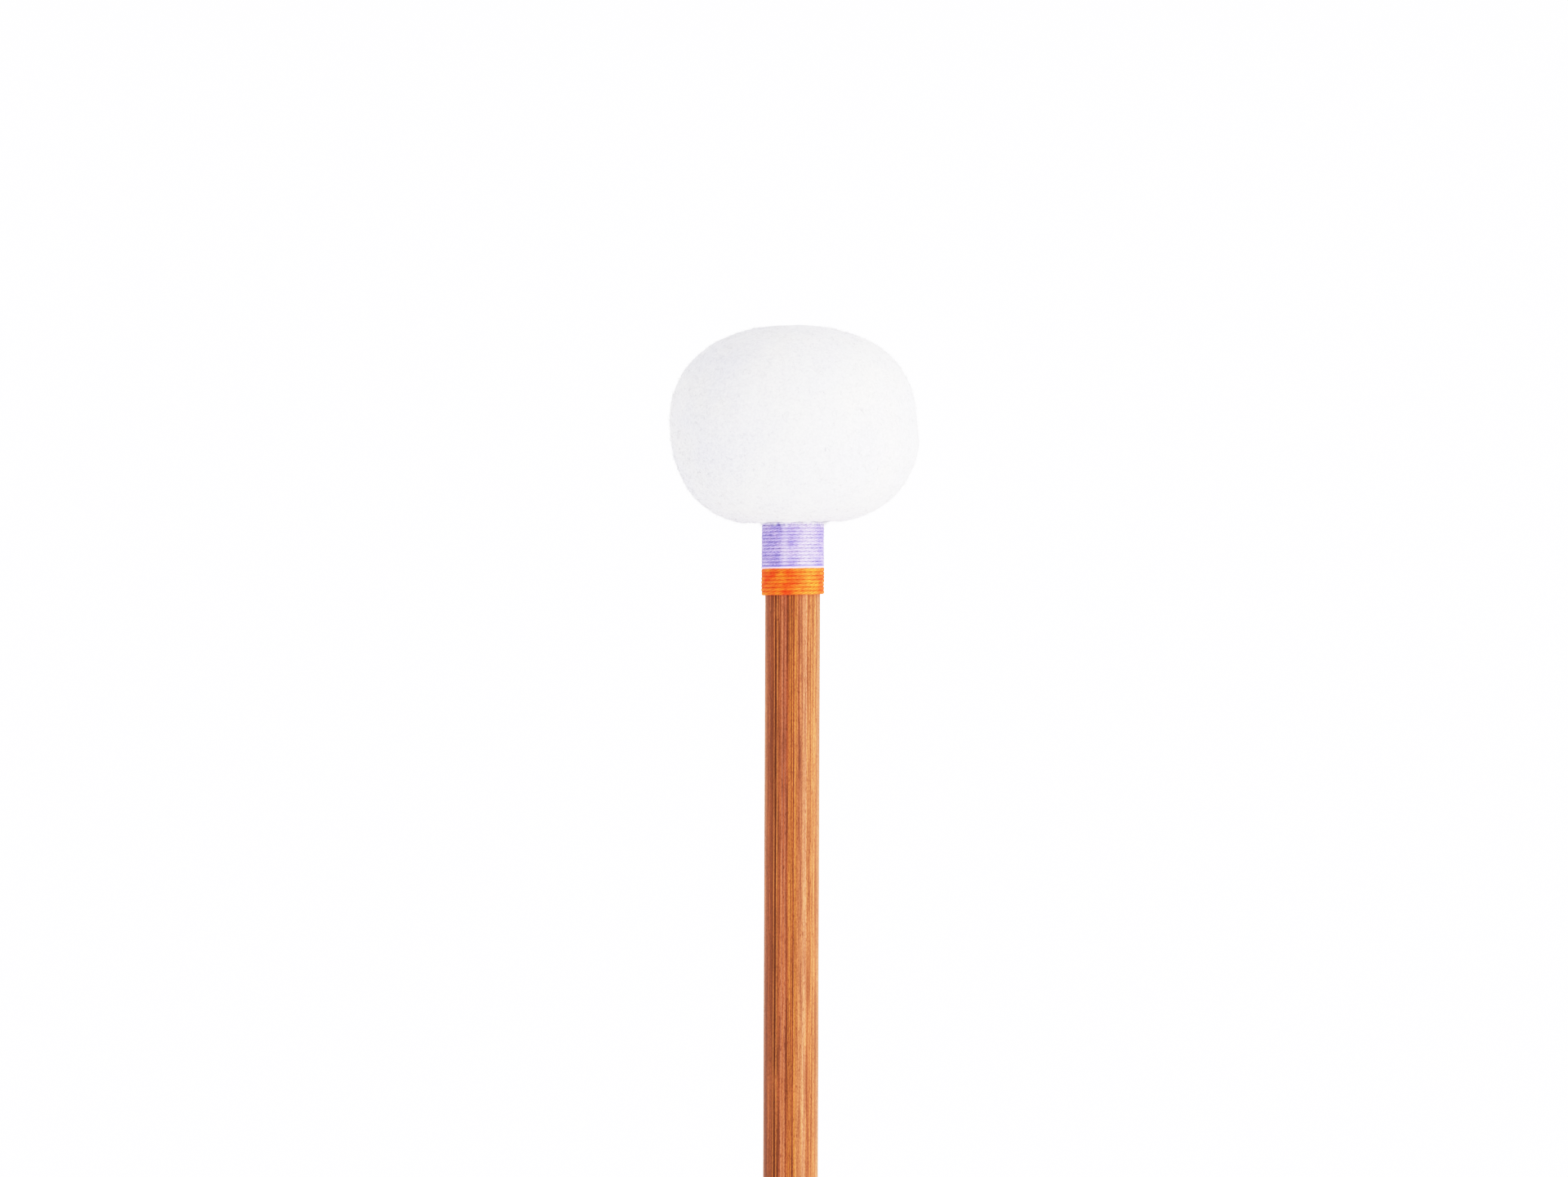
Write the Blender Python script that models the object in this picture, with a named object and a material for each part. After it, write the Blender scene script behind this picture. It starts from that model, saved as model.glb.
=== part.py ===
"""Timpani mallet, head up: a turned bamboo shaft, a wooden core wrapped in felt, a soft white cover
drawn in round the neck and tied there, and a lavender and an orange thread binding below it.

Metres, +Z up. The shaft stands on the Z axis with its butt end at the origin.
Run it with blender --background --python part.py, or from the text editor.
"""

import itertools
import math
from collections import namedtuple

import bmesh
import bpy
from mathutils import Vector

MM = 0.001

# The whole mallet
LENGTH = 380.0 * MM
CLEARANCE = 0.3 * MM  # left between two pieces that touch
AROUND = 48  # facets round a turned piece

# Shaft
SHAFT_RADIUS = 5.25 * MM
BUTT_ROUNDING = 2.35 * MM
TENON_RADIUS = 4.2 * MM
TENON_CHAMFER = 0.8 * MM
SHAFT_STATIONS = 6  # rings that divide the long plain stretch

# Head, in heights above and below its widest ring
Crown = namedtuple("Crown", "radius rise fullness")  # a quarter superellipse; fullness 2 is an ellipse
COVER_TOP = Crown(24.0 * MM, 20.2 * MM, 2.35)
COVER_BOTTOM = Crown(24.0 * MM, -17.9 * MM, 2.6)
COVER_THICKNESS = 3.0 * MM
CAVITY_FLOOR = -13.2 * MM
FILLING_EASE = 0.6 * MM  # between the cover and the felt packed inside it
HEAD_HEIGHT = LENGTH - COVER_TOP.rise

# Core and the felt packed round it
CORE_RADIUS = 13.0 * MM
CORE_TOP = 12.2 * MM
CORE_BOTTOM = -10.1 * MM
CORE_ROUNDING = 1.5 * MM
GLUE_GROOVE_DEPTH = 0.5 * MM
GLUE_GROOVE_HEIGHTS = (-4.0 * MM, 1.0 * MM, 6.0 * MM)
INNER_BAND_RADIUS = 16.8 * MM
BUTT_JOINT = 0.4 * MM  # slit where the two ends of a felt band meet
WASHER_RADIUS = 12.6 * MM

# Neck of the cover: a lip on the shaft, held by a tie that lies in a crease
LIP_THICKNESS = 0.75 * MM
LIP_BOTTOM = -17.2 * MM
CREASE_ROOF = -14.4 * MM
CREASE_ROOF_RADIUS = 7.5 * MM
CREASE_MOUTH_RADIUS = 8.0 * MM  # where the round underside ends
PLEATS = 12
PLEAT_DEPTH = 0.8 * MM
PLEAT_REACH = 19.0 * MM

# Threads. A winding keeps a gap between its turns, so it has fewer turns than a real one.
LOOP_POINTS = 24
LAY_GAP = 0.25 * MM  # between a thread and what it is wound on
BINDING_THREAD = 0.54 * MM
BINDING_PITCH = 0.96 * MM
BINDING_TOP = 342.3 * MM
BINDING_CHANGE = 333.64 * MM  # where orange gives way to lavender, at the back of the shaft
BINDING_BOTTOM = 328.4 * MM
CHANGE_GAP = 1 / LOOP_POINTS  # of a turn, between the ends of the two threads
TIE_THREAD = 0.46 * MM
TIE_PITCH = 0.9 * MM
TIE_TURNS = 2
TIE_BOTTOM = -16.9 * MM

SHARP_ANGLE = math.radians(40)

# Finish of each piece: colour as it looks on screen, roughness, sheen
FINISHES = {
    "shaft": ((197, 122, 79), 0.28, 0.0),
    "core": ((222, 190, 142), 0.6, 0.0),
    "inner_felt_band": ((214, 208, 196), 0.95, 0.3),
    "outer_felt_band": ((232, 229, 221), 0.95, 0.3),
    "top_felt_disc": ((232, 229, 221), 0.95, 0.3),
    "bottom_felt_washer": ((214, 208, 196), 0.95, 0.3),
    "cover": ((245, 245, 243), 0.95, 0.5),
    "neck_tie": ((236, 233, 226), 0.7, 0.1),
    "lavender_binding": ((207, 196, 235), 0.6, 0.2),
    "orange_binding": ((243, 133, 46), 0.55, 0.2),
}


def linear(channel):
    """A screen colour value, 0 to 255, as the linear value that a shader takes."""
    value = channel / 255
    return value / 12.92 if value <= 0.04045 else ((value + 0.055) / 1.055) ** 2.4


def finish(piece):
    """Gives a piece its own material from FINISHES."""
    colour, roughness, sheen = FINISHES[piece.name]
    material = bpy.data.materials.new(piece.name)
    material.use_nodes = True
    shader = material.node_tree.nodes["Principled BSDF"]
    shader.inputs["Base Color"].default_value = (*map(linear, colour), 1)
    shader.inputs["Roughness"].default_value = roughness
    shader.inputs["Metallic"].default_value = 0
    shader.inputs["Sheen Weight"].default_value = sheen
    piece.data.materials.append(material)


def placed(name, data, parent):
    """Adds an object to the scene under a parent empty."""
    piece = bpy.data.objects.new(name, data)
    bpy.context.scene.collection.objects.link(piece)
    piece.parent = parent
    finish(piece)
    return piece


def turned(name, profile, parent, slit=0.0):
    """Spins a profile of (radius, z) points about Z. A profile that starts and ends on the axis is
    left open there, any other is a closed ring. A slit in radians leaves a capped butt joint."""
    bm = bmesh.new()
    corners = [bm.verts.new((radius, 0, z)) for radius, z in profile]
    pairs = list(zip(corners, corners[1:]))
    if profile[0][0] > 0:
        pairs.append((corners[-1], corners[0]))
    edges = [bm.edges.new(pair) for pair in pairs]
    spun = bmesh.ops.spin(
        bm,
        geom=corners + edges,
        cent=(0, 0, 0),
        axis=(0, 0, 1),
        angle=math.tau - slit,
        steps=AROUND,
        use_merge=not slit,
    )
    if slit:
        last = [item for item in spun["geom_last"] if isinstance(item, bmesh.types.BMEdge)]
        bmesh.ops.contextual_create(bm, geom=edges)
        bmesh.ops.contextual_create(bm, geom=last)
    bmesh.ops.remove_doubles(bm, verts=bm.verts, dist=0.001 * MM)
    bmesh.ops.recalc_face_normals(bm, faces=bm.faces)
    mesh = bpy.data.meshes.new(name)
    bm.to_mesh(mesh)
    bm.free()
    mesh.shade_smooth()
    mesh.set_sharp_from_angle(angle=SHARP_ANGLE)
    return placed(name, mesh, parent)


def inset(crown, depth):
    """The crown that lies a depth inside another."""
    return Crown(crown.radius - depth, math.copysign(abs(crown.rise) - depth, crown.rise), crown.fullness)


def crown_arc(crown, first_radius, last_radius, steps):
    """Points (radius, z) along a crown from one radius to another, spaced evenly in angle."""
    first, last = (
        math.acos((radius / crown.radius) ** (crown.fullness / 2))
        for radius in (first_radius, last_radius)
    )
    points = []
    for step in range(steps + 1):
        angle = first + (last - first) * step / steps
        across = max(math.cos(angle), 0) ** (2 / crown.fullness)
        along = math.sin(angle) ** (2 / crown.fullness)
        points.append((crown.radius * across, crown.rise * along))
    points[0] = (first_radius, points[0][1])
    points[-1] = (last_radius, points[-1][1])
    return points


def rounded_corner(centre, radius, first_angle, last_angle, steps):
    """Points (radius, z) along a circular arc in the profile plane, angles from the +radius axis."""
    points = []
    for step in range(steps + 1):
        angle = math.radians(first_angle + (last_angle - first_angle) * step / steps)
        points.append((centre[0] + radius * math.cos(angle), centre[1] + radius * math.sin(angle)))
    return points


def make_shaft(mallet):
    """The rod: a rounded butt with a flat end face, a long plain stretch and a tenon for the core."""
    shoulder = HEAD_HEIGHT + CORE_BOTTOM - CLEARANCE
    tip = HEAD_HEIGHT + CORE_TOP - CLEARANCE
    profile = [(0, 0)]
    butt_centre = (SHAFT_RADIUS - BUTT_ROUNDING, BUTT_ROUNDING)
    profile += rounded_corner(butt_centre, BUTT_ROUNDING, -90, 0, 5)
    for station in range(1, SHAFT_STATIONS + 1):
        height = BUTT_ROUNDING + (shoulder - BUTT_ROUNDING) * station / SHAFT_STATIONS
        profile.append((SHAFT_RADIUS, height))
    profile += [
        (TENON_RADIUS, shoulder),
        (TENON_RADIUS, tip - TENON_CHAMFER),
        (TENON_RADIUS - TENON_CHAMFER, tip),
        (0, tip),
    ]
    turned("shaft", profile, mallet)


def make_core(head):
    """The turned wooden hub: bored for the tenon, corners eased, grooves that hold the glue."""
    bore = TENON_RADIUS + CLEARANCE
    corner = CORE_RADIUS - CORE_ROUNDING
    profile = [(bore, CORE_BOTTOM)]
    profile += rounded_corner((corner, CORE_BOTTOM + CORE_ROUNDING), CORE_ROUNDING, -90, 0, 3)
    for height in GLUE_GROOVE_HEIGHTS:
        profile += [
            (CORE_RADIUS, height - GLUE_GROOVE_DEPTH),
            (CORE_RADIUS - GLUE_GROOVE_DEPTH, height),
            (CORE_RADIUS, height + GLUE_GROOVE_DEPTH),
        ]
    profile += rounded_corner((corner, CORE_TOP - CORE_ROUNDING), CORE_ROUNDING, 0, 90, 3)
    profile.append((bore, CORE_TOP))
    turned("core", profile, head)


def make_felt_bands(head):
    """Two strips of felt bent round the core, each closed by a butt joint, on opposite sides."""
    fill_top = inset(COVER_TOP, COVER_THICKNESS + FILLING_EASE)
    fill_bottom = inset(COVER_BOTTOM, COVER_THICKNESS + FILLING_EASE)
    bands = (
        ("inner_felt_band", CORE_RADIUS + CLEARANCE, INNER_BAND_RADIUS, 0),
        ("outer_felt_band", INNER_BAND_RADIUS + CLEARANCE, fill_top.radius, math.pi),
    )
    for name, inner, outer, turn in bands:
        profile = crown_arc(fill_top, inner, outer, 4)
        below = crown_arc(fill_bottom, outer, inner, 4)
        profile += below if below[0] != profile[-1] else below[1:]
        band = turned(name, profile, head, slit=BUTT_JOINT / inner)
        band.rotation_euler.z = turn


def make_felt_pads(head):
    """A crowned disc of felt over the core and a washer under it."""
    fill_top = inset(COVER_TOP, COVER_THICKNESS + FILLING_EASE)
    disc_bottom = CORE_TOP + CLEARANCE
    disc = crown_arc(fill_top, 0, CORE_RADIUS, 5) + [(CORE_RADIUS, disc_bottom), (0, disc_bottom)]
    turned("top_felt_disc", disc, head)
    washer_bore = SHAFT_RADIUS + CLEARANCE
    washer_bottom = CAVITY_FLOOR + CLEARANCE
    washer_top = CORE_BOTTOM - CLEARANCE
    washer = [
        (washer_bore, washer_bottom),
        (WASHER_RADIUS, washer_bottom),
        (WASHER_RADIUS, washer_top),
        (washer_bore, washer_top),
    ]
    turned("bottom_felt_washer", washer, head)


def cover_profile():
    """Outside from the top down to the crease, round the lip on the shaft, and back up inside."""
    cavity_top = inset(COVER_TOP, COVER_THICKNESS)
    cavity_bottom = inset(COVER_BOTTOM, COVER_THICKNESS)
    floor_share = 1 - (CAVITY_FLOOR / cavity_bottom.rise) ** cavity_bottom.fullness
    floor_radius = cavity_bottom.radius * floor_share ** (1 / cavity_bottom.fullness)
    on_shaft = SHAFT_RADIUS + CLEARANCE
    lip = on_shaft + LIP_THICKNESS
    outside = crown_arc(COVER_TOP, 0, COVER_TOP.radius, 7)
    outside += crown_arc(COVER_BOTTOM, COVER_BOTTOM.radius, CREASE_MOUTH_RADIUS, 7)[1:]
    neck = [
        (CREASE_ROOF_RADIUS, CREASE_ROOF),
        (lip, CREASE_ROOF),
        (lip, LIP_BOTTOM),
        (on_shaft, LIP_BOTTOM),
        (on_shaft, CAVITY_FLOOR),
    ]
    inside = crown_arc(cavity_bottom, floor_radius, cavity_bottom.radius, 3)
    inside += crown_arc(cavity_top, cavity_top.radius, 0, 4)[1:]
    return outside + neck + inside


def gather(cover):
    """Sinks the pleats of the drawn-in underside towards the middle of the head. They are deepest
    at the crease and fade out up the side."""
    for vertex in cover.data.vertices:
        radius = math.hypot(vertex.co.x, vertex.co.y)
        if not CREASE_ROOF_RADIUS < radius < PLEAT_REACH:
            continue
        crown_share = 1 - (radius / COVER_BOTTOM.radius) ** COVER_BOTTOM.fullness
        underside = COVER_BOTTOM.rise * crown_share ** (1 / COVER_BOTTOM.fullness)
        if vertex.co.z > underside + CLEARANCE:
            continue
        nearness = min(1, (PLEAT_REACH - radius) / (PLEAT_REACH - CREASE_MOUTH_RADIUS))
        fade = nearness * nearness * (3 - 2 * nearness)
        azimuth = math.atan2(vertex.co.y, vertex.co.x)
        valley = 0.5 - 0.5 * math.cos(PLEATS * azimuth)
        vertex.co -= vertex.co.normalized() * PLEAT_DEPTH * fade * valley


def make_cover(head):
    """The soft white cover, drawn in below the head and held on the shaft by its lip."""
    cover = turned("cover", cover_profile(), head)
    gather(cover)


def helix(radius, datum, pitch, first_turn, last_turn, thread):
    """Points of a right-handed winding that passes the back of the shaft at the datum height when
    its turn count is 0. Each end runs straight on for one thread diameter."""
    points = []
    for step in range(round((last_turn - first_turn) * LOOP_POINTS) + 1):
        turn = first_turn + step / LOOP_POINTS
        azimuth = math.tau * turn + math.pi / 2
        height = datum + pitch * turn
        points.append(Vector((radius * math.cos(azimuth), radius * math.sin(azimuth), height)))
    slope = pitch / (math.tau * radius)
    for end, along in ((0, -1), (-1, 1)):
        x, y, z = points[end]
        tangent = Vector((-y / radius, x / radius, slope)).normalized()
        points.insert(len(points) if end else 0, Vector((x, y, z)) + tangent * along * thread)
    return points


def least_gap(points, thread):
    """The least clear distance between turns, measured between points at least half a turn apart."""
    apart = LOOP_POINTS // 2
    pairs = (
        (a, b)
        for (i, a), (j, b) in itertools.combinations(enumerate(points), 2)
        if j - i >= apart
    )
    return min((a - b).length for a, b in pairs) - thread


def wound(name, drum_radius, datum, pitch, first_turn, last_turn, thread, parent):
    """One unbroken thread wound on a drum, as a tube along its helix."""
    lay_radius = drum_radius + LAY_GAP + thread / 2
    points = helix(lay_radius, datum, pitch, first_turn, last_turn, thread)
    curve = bpy.data.curves.new(name, "CURVE")
    curve.dimensions = "3D"
    curve.twist_mode = "Z_UP"
    curve.bevel_depth = thread / 2
    curve.bevel_resolution = 1
    curve.use_fill_caps = True
    spline = curve.splines.new("POLY")
    spline.points.add(len(points) - 1)
    for knot, point in zip(spline.points, points):
        knot.co = (*point, 1)
    spline.use_smooth = True
    placed(name, curve, parent)
    turns = last_turn - first_turn
    print(f"{name}: {turns:.1f} turns, least gap between them {least_gap(points, thread) / MM:.2f} mm")


def make_bindings(mallet, head):
    """The two coloured bindings, which follow one helix on the shaft, and the tie in the crease."""
    half_thread = BINDING_THREAD / 2
    lowest_turn = (BINDING_BOTTOM + half_thread - BINDING_CHANGE) / BINDING_PITCH
    highest_turn = (BINDING_TOP - half_thread - BINDING_CHANGE) / BINDING_PITCH
    bindings = (
        ("orange_binding", lowest_turn, 0),
        ("lavender_binding", CHANGE_GAP, highest_turn),
    )
    for name, first, last in bindings:
        wound(name, SHAFT_RADIUS, BINDING_CHANGE, BINDING_PITCH, first, last, BINDING_THREAD, mallet)
    lip = SHAFT_RADIUS + CLEARANCE + LIP_THICKNESS
    wound("neck_tie", lip, TIE_BOTTOM, TIE_PITCH, 0, TIE_TURNS, TIE_THREAD, head)


def main():
    for old in list(bpy.data.objects):
        bpy.data.objects.remove(old)
    mallet = bpy.data.objects.new("mallet", None)
    head = bpy.data.objects.new("head", None)
    for empty in (mallet, head):
        bpy.context.scene.collection.objects.link(empty)
    head.parent = mallet
    head.location.z = HEAD_HEIGHT
    make_shaft(mallet)
    make_core(head)
    make_felt_bands(head)
    make_felt_pads(head)
    make_cover(head)
    make_bindings(mallet, head)


main()
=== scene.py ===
"""Looks of the timpani mallet: napped felt head, twisted thread bindings and varnished bamboo shaft.

Metres, +Z up the shaft, with lengths written in millimetres times MM. The camera looks along +Y,
so the front of the shaft faces -Y. Azimuths run from +X towards +Y, in radians.
"""

import math

import bpy
import numpy as np
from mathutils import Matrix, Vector, noise


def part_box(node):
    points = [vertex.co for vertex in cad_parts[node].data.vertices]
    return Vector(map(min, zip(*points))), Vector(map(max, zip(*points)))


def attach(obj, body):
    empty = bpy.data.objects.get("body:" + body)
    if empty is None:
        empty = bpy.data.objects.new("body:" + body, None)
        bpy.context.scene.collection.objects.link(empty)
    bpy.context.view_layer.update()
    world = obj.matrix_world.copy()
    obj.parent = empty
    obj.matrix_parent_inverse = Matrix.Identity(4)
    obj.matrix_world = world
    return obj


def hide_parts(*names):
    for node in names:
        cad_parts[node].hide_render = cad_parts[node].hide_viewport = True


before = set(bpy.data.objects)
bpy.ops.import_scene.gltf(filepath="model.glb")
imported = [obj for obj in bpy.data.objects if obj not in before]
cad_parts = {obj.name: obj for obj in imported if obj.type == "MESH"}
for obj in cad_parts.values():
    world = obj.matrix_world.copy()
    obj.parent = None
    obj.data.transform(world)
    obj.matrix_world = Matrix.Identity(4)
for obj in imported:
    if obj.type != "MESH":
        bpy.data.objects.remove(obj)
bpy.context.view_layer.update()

MM = 0.001
CLEARANCE = 0.3 * MM  # between pieces that touch, as in the solids

# Shaft
SHAFT_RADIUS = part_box("shaft")[1].x
SHAFT_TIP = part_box("shaft")[1].z
BUTT_ROUNDING = 2.35 * MM
TENON_RADIUS = 4.2 * MM
TENON_CHAMFER = 0.8 * MM
SHAFT_COLUMNS = 256
SHAFT_STEP = 2 * MM
GLUE_LINE = math.radians(-87.3)  # azimuth of the joint between the two strips of bamboo
GLUE_GROOVE_DEPTH = 0.03 * MM
GLUE_GROOVE_REACH = 0.12 * MM  # to each side of the joint
FIBRE_RIDGE_DEPTH = 0.012 * MM

# Cover, in heights above and below its widest ring
COVER_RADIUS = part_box("cover")[1].x
TOP_RISE = 20.2 * MM
TOP_FULLNESS = 2.35  # of the quarter superellipse; 2 is an ellipse
BOTTOM_RISE = -17.9 * MM
BOTTOM_FULLNESS = 2.6
HEAD_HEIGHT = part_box("cover")[1].z - TOP_RISE
CORE_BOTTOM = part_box("core")[0].z
COVER_THICKNESS = 3.0 * MM
MOUTH_RADIUS = 6.45 * MM  # of the underside, which closes in on the binding
MOUTH_RISE = 0.7 * MM  # of the felt where it closes in, fading out over the next length
MOUTH_REACH = 4.5 * MM
CREASE_RADIUS = 7.2 * MM  # further up, round the tie
CREASE_ROOF = HEAD_HEIGHT - 14.4 * MM
LIP_THICKNESS = 0.75 * MM
LIP_BOTTOM = HEAD_HEIGHT - 16.6 * MM
CAVITY_FLOOR = HEAD_HEIGHT - 13.2 * MM
COVER_COLUMNS = 432
COVER_STEP = 0.36 * MM
NECK_STEP = 1.5 * COVER_STEP
CAVITY_STEP = 8 * COVER_STEP
OUTSIDE_POINTS = 400  # along a quarter of the profile, before it is spaced evenly
CAVITY_POINTS = 60
GATHERS = 17
GATHER_EXCESS = 0.28  # how much longer round the mouth the felt was before it was drawn in
GATHER_REACH = 16 * MM  # radius at which the felt had no excess
GATHER_LIMIT = 0.6 * MM  # how far the simulation may move the felt
GATHER_START = 0.15 * MM  # height of the waves that the simulation starts from
SIM_OUTER_RADIUS = 19 * MM  # of the part of the underside that is simulated
SIM_COLUMNS = 192
SIM_RINGS = 40
SIM_HELD_RINGS = (2, 4)  # at the outer edge and at the mouth
SIM_SCALE = 20  # cloth settles better at a larger size
SIM_FRAMES = 20
NAP_DEPTH = 0.3 * MM  # from the felt's face to where its standing fibres look solid
NAP_FIBRES = 12000
NECK_FIBRES = 2400
FIBRE_ROOT = 0.08 * MM  # how deep a fibre starts in the felt or the thread
NAP_FIBRE_RADIUS = 0.022 * MM
NECK_FIBRE_RADIUS = 0.017 * MM
FIBRE_STEPS = np.array([0, 0.35, 0.7, 1.0])[None, :, None]  # where a fibre's points lie, root to tip
FIBRE_TAPER = np.array([1.0, 0.85, 0.6, 0.0])[None, :, None, None]  # how thick it is there
# Size and depth of the felt's lumps, and of the tufts on them
FELT_LUMPS = ((16 * MM, 0.30 * MM), (5 * MM, 0.10 * MM))
FELT_TUFTS = ((1.7 * MM, 0.08 * MM), (0.75 * MM, 0.04 * MM))

# Threads: a loosely twisted thread of six strands, flattened against its neighbours and the shaft
STRANDS = 6
LAY_LENGTH = 7.0 * MM  # along the thread, for one turn of its twist
SQUARENESS = 2.8  # of the thread's section, a superellipse; 2 is an ellipse
SECTION_POINTS = 18
THREAD_STEP = 0.15 * MM
THREAD_TAPER = 0.14  # of a turn, at each end
THREAD_TIP = 0.15  # thickness at the very end, as a share of the full one
THREAD_CROWDING = 1.1  # height of its section in pitches, so that neighbouring turns press together
THREAD_WOBBLE = 0.02 * MM  # in and out
THREAD_SWAY = 0.015 * MM  # up and down
TWIST_DRIFT = 0.5  # radians that its twist runs ahead or behind
WOUND_RADIUS = 6.0 * MM
LAVENDER_PITCH = 0.638 * MM
ORANGE_PITCH = 0.71 * MM
LAVENDER_TOP = LIP_BOTTOM - 0.15 * MM
ORANGE_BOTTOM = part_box("orange_binding")[0].z
COLOUR_CHANGE = 333.64 * MM  # height at the back of the shaft where orange gives way to lavender
TIE_THREAD = 0.48 * MM
TIE_TURNS = 2
LOOSE_END_RADIUS = 0.009 * MM
ORANGE_ENDS = 220
LAVENDER_ENDS = 420
# Angle from the front glue line towards +X, and half width, in degrees: where a painted highlight pales the
# threads on the front right, facing the key light, and where the lavender is lighter in a stripe
PAINTED_HIGHLIGHT_SIDE = (30, 48)
LAVENDER_PAINTED_HIGHLIGHT_SIDE = (24, 36)
LAVENDER_LIGHTER_STRIPE = (-18, 12)

rng = np.random.default_rng(7)


# Meshes


def mesh_object(name, vertices, faces, material):
    """A smooth object from an array of vertices and a list of arrays of faces."""
    mesh = bpy.data.meshes.new(name)
    loops = np.concatenate([part.ravel() for part in faces]).astype(np.int32)
    sizes = np.concatenate([np.full(len(part), part.shape[1]) for part in faces])
    starts = np.concatenate([[0], np.cumsum(sizes)[:-1]]).astype(np.int32)
    mesh.vertices.add(len(vertices))
    mesh.vertices.foreach_set("co", np.asarray(vertices, np.float32).ravel())
    mesh.loops.add(len(loops))
    mesh.loops.foreach_set("vertex_index", loops)
    mesh.polygons.add(len(starts))
    mesh.polygons.foreach_set("loop_start", starts)
    mesh.update(calc_edges=True)
    mesh.shade_smooth()
    if material:
        mesh.materials.append(material)
    piece = bpy.data.objects.new(name, mesh)
    bpy.context.scene.collection.objects.link(piece)
    return piece


def ring_quads(rings, around):
    """Quads between successive rings of vertices, each ring closed on itself. They face outwards
    where the rings run counter-clockwise and upwards."""
    ring = np.arange(rings - 1)[:, None]
    column = np.arange(around)[None, :]
    following = (column + 1) % around
    corners = (ring * around + column, ring * around + following)
    corners += ((ring + 1) * around + following, (ring + 1) * around + column)
    return np.stack([corner + 0 * ring for corner in corners], axis=-1).reshape(-1, 4)


def end_fans(rings, around, first_centre, last_centre):
    """Triangles that close the first and the last ring, each round a centre vertex."""
    column = np.arange(around)
    following = (column + 1) % around
    last = (rings - 1) * around
    first_fan = np.stack([np.full(around, first_centre), following, column], axis=1)
    last_fan = np.stack([np.full(around, last_centre), last + column, last + following], axis=1)
    return np.concatenate([first_fan, last_fan])


def spun(profile, azimuth):
    """Points (ring, column, xyz) of a profile of (radius, height) turned about Z."""
    radius, height = profile[:, :1], profile[:, 1:]
    return np.stack([radius * np.cos(azimuth), radius * np.sin(azimuth), height + 0 * azimuth], axis=-1)


def columns(count):
    return np.linspace(0, math.tau, count, endpoint=False)[None, :]


def noise_at(points, size, seed):
    """Perlin noise, about -1 to 1, at each point, with lumps of about the given size."""
    offset = Vector((seed * 17.3, seed * 5.1, seed * 11.7))
    return np.array([noise.noise(Vector(point) / size + offset) for point in points])


def relief(points, layers, seed):
    """Noise added up over layers of (size, depth), each with a seed of its own."""
    return sum(noise_at(points, size, seed + i) * depth for i, (size, depth) in enumerate(layers))


def even_profile(points, step):
    """Points spaced evenly along a polyline, keeping its ends."""
    points = np.array(points)
    lengths = np.concatenate([[0], np.cumsum(np.linalg.norm(np.diff(points, axis=0), axis=1))])
    at = np.linspace(0, lengths[-1], round(lengths[-1] / step) + 1)
    return np.stack([np.interp(at, lengths, points[:, axis]) for axis in (0, 1)], axis=1)


def smooth(share):
    """Eases a share from 0 to 1, clipped outside that range."""
    share = np.clip(share, 0, 1)
    return share * share * (3 - 2 * share)


def unit(vectors):
    return vectors / np.linalg.norm(vectors, axis=-1, keepdims=True)


# Materials


def linear(red, green, blue):
    """A screen colour, 0 to 255 each, as a shader's linear colour."""
    channels = (value / 255 for value in (red, green, blue))
    return (*(c / 12.92 if c <= 0.04045 else ((c + 0.055) / 1.055) ** 2.4 for c in channels), 1)


class Nodes:
    """A node tree, with short calls for the nodes that this file uses."""

    def __init__(self, tree):
        self.tree = tree

    def add(self, kind, **settings):
        node = self.tree.nodes.new(kind)
        for name, value in settings.items():
            setattr(node, name, value)
        return node

    def fill(self, socket, value):
        """Links a socket to another node's output, or sets its value."""
        if isinstance(value, bpy.types.NodeSocket):
            self.tree.links.new(value, socket)
        else:
            socket.default_value = value

    def math(self, operation, a, b=0.0):
        node = self.add("ShaderNodeMath", operation=operation)
        self.fill(node.inputs[0], a)
        self.fill(node.inputs[1], b)
        return node.outputs["Value"]

    def axes(self, vector):
        node = self.add("ShaderNodeSeparateXYZ")
        self.fill(node.inputs["Vector"], vector)
        return node.outputs

    def range(self, value, low, high, at_low=0.0, at_high=1.0):
        """Eases from one value to another as its input goes from low to high."""
        node = self.add("ShaderNodeMapRange", interpolation_type="SMOOTHSTEP")
        settings = {"From Min": low, "From Max": high, "To Min": at_low, "To Max": at_high}
        self.fill(node.inputs["Value"], value)
        for socket, setting in settings.items():
            node.inputs[socket].default_value = setting
        return node.outputs["Result"]

    def ramp(self, value, stops):
        """A colour from (position, colour) stops."""
        node = self.add("ShaderNodeValToRGB")
        self.fill(node.inputs["Fac"], value)
        elements = node.color_ramp.elements
        elements.remove(elements[-1])
        elements[0].position, elements[0].color = stops[0]
        for position, colour in stops[1:]:
            elements.new(position).color = colour
        return node.outputs["Color"]

    def mix(self, share, a, b, blend="MIX"):
        node = self.add("ShaderNodeMix", data_type="RGBA", blend_type=blend)
        first, second = (socket for socket in node.inputs if socket.type == "RGBA")
        self.fill(node.inputs["Factor"], share)
        self.fill(first, a)
        self.fill(second, b)
        return next(socket for socket in node.outputs if socket.type == "RGBA")


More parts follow.
